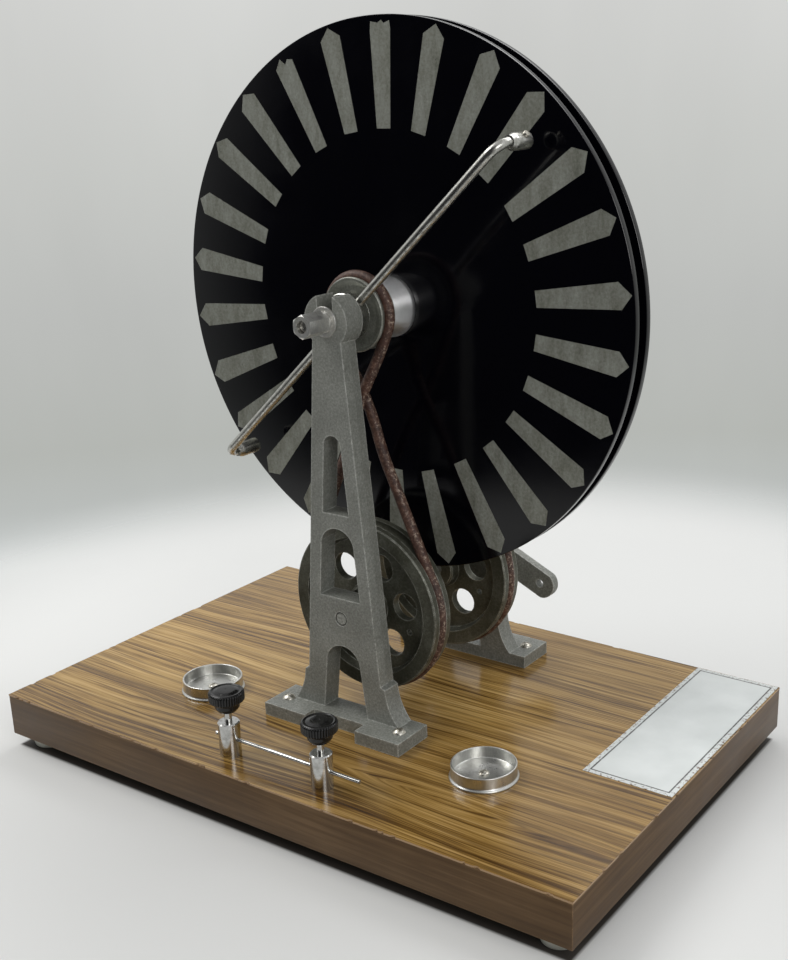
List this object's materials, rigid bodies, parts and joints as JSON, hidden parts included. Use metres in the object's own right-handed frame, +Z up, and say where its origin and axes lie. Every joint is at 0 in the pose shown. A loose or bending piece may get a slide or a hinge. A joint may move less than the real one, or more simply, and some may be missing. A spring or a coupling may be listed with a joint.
{
  "type": "wimshurst machine",
  "caption": "Hand-cranked influence machine: contra-rotating sector discs on cast uprights, belt pulleys below, cups and screw terminals on a wooden base.",
  "frame": {"origin": "centre of the base board's outline, on the plane that the feet stand on", "axes": "+X along the base's length, +Y along the spindle from the front upright to the crank side, +Z up"},
  "size_m": [0.39, 0.25, 0.415],
  "materials": {
    "board": "stained chipboard edge",
    "laminate": "glossy wood-grain laminate",
    "foot": "moulded grey rubber",
    "hammered_casting": "grey hammered paint on a casting",
    "shaft_steel": "turned steel, slightly tarnished",
    "screw_steel": "plated steel",
    "crank_steel": "grey painted steel",
    "disc_black": "satin black sheet",
    "foil": "dull scratched foil",
    "turned_aluminium": "lathe-turned, bright",
    "bush_brass": "plain turned",
    "nickel": "nickel plated, slightly dull",
    "cast_pulley": "dark olive-grey casting with turned faces",
    "belt_leather": "round brown leather cord, worn",
    "terminal_chrome": "bright plated",
    "knob_black": "moulded black plastic"
  },
  "bodies": {
    "stand": {"base_board": "board", "top_laminate": "laminate", "foot_front_left": "foot", "foot_front_right": "foot", "foot_back_left": "foot", "foot_back_right": "foot", "foot_screws": "screw_steel", "front_upright": "hammered_casting", "back_upright": "hammered_casting", "upright_screws": "screw_steel", "spindle": "shaft_steel", "front_spindle_nut": "shaft_steel", "back_spindle_nut": "shaft_steel", "spindle_washers": "shaft_steel", "spring_washers": "shaft_steel", "disc_spacer": "shaft_steel", "front_belt": "belt_leather", "back_belt": "belt_leather", "left_cup": "turned_aluminium", "right_cup": "turned_aluminium", "cup_screws": "screw_steel", "left_terminal_post": "terminal_chrome", "right_terminal_post": "terminal_chrome"},
    "drive": {"drive_shaft": "shaft_steel", "front_large_pulley": "cast_pulley", "back_large_pulley": "cast_pulley", "pulley_grub_screws": "screw_steel", "front_shaft_collar": "shaft_steel", "back_shaft_collar": "shaft_steel", "crank_boss": "crank_steel", "crank_arm": "crank_steel", "crank_nut": "shaft_steel"},
    "front_wheel": {"front_disc": "disc_black", "front_sectors": "foil", "front_hub": "turned_aluminium", "front_disc_ring": "turned_aluminium", "front_bush": "bush_brass", "front_small_pulley": "turned_aluminium"},
    "back_wheel": {"back_disc": "disc_black", "back_sectors": "foil", "back_hub": "turned_aluminium", "back_disc_ring": "turned_aluminium", "back_bush": "bush_brass", "back_small_pulley": "turned_aluminium"},
    "front_neutraliser": {"front_neutraliser_collar": "nickel", "front_upper_arm": "nickel", "front_lower_arm": "nickel", "front_brush_holders": "nickel", "front_holder_screws": "screw_steel"},
    "back_neutraliser": {"back_neutraliser_collar": "nickel", "back_upper_arm": "nickel", "back_lower_arm": "nickel", "back_brush_holders": "nickel", "back_holder_screws": "screw_steel"},
    "left_screw": {"left_thumb_screw": "terminal_chrome"},
    "left_knob": {"left_thumb_knob": "knob_black"},
    "right_screw": {"right_thumb_screw": "terminal_chrome"},
    "right_knob": {"right_thumb_knob": "knob_black"},
    "link": {"link_rod": "terminal_chrome"}
  },
  "joints": [
    {"name": "crank_turn", "type": "hinge", "parent": "stand", "child": "drive", "pos_m": [0.003, 0.016, 0.099], "axis": [0, 1, 0], "continuous": true},
    {"name": "front_disc_turn", "type": "hinge", "parent": "stand", "child": "front_wheel", "pos_m": [0.003, 0.016, 0.265], "axis": [0, 1, 0], "continuous": true},
    {"name": "back_disc_turn", "type": "hinge", "parent": "stand", "child": "back_wheel", "pos_m": [0.003, 0.016, 0.265], "axis": [0, 1, 0], "continuous": true},
    {"name": "front_neutraliser_swing", "type": "hinge", "parent": "stand", "child": "front_neutraliser", "pos_m": [0.003, 0.016, 0.265], "axis": [0, 1, 0], "range_deg": [-20, 20]},
    {"name": "back_neutraliser_swing", "type": "hinge", "parent": "stand", "child": "back_neutraliser", "pos_m": [0.003, 0.016, 0.265], "axis": [0, 1, 0], "range_deg": [-20, 20]},
    {"name": "left_knob_turn", "type": "hinge", "parent": "left_screw", "child": "left_knob", "pos_m": [-0.0295, -0.107, 0.065], "axis": [0, 0, 1], "range_deg": [0, 1800]},
    {"name": "left_screw_travel", "type": "slide", "parent": "stand", "child": "left_screw", "axis": [0, 0, 1], "range_m": [0, 0.004]},
    {"name": "right_knob_turn", "type": "hinge", "parent": "right_screw", "child": "right_knob", "pos_m": [0.0355, -0.107, 0.065], "axis": [0, 0, 1], "range_deg": [0, 1800]},
    {"name": "right_screw_travel", "type": "slide", "parent": "stand", "child": "right_screw", "axis": [0, 0, 1], "range_m": [0, 0.004]},
    {"name": "link_rod_slide", "type": "slide", "parent": "stand", "child": "link", "axis": [1, 0, 0], "range_m": [-0.018, 0.005]}
  ],
  "couplings": [
    {"joint": "front_disc_turn", "follows": "crank_turn", "ratio": -2.4},
    {"joint": "back_disc_turn", "follows": "crank_turn", "ratio": 2.4},
    {"joint": "left_knob_turn", "follows": "left_screw_travel", "rad_per_m": 7854},
    {"joint": "right_knob_turn", "follows": "right_screw_travel", "rad_per_m": 7854}
  ]
}
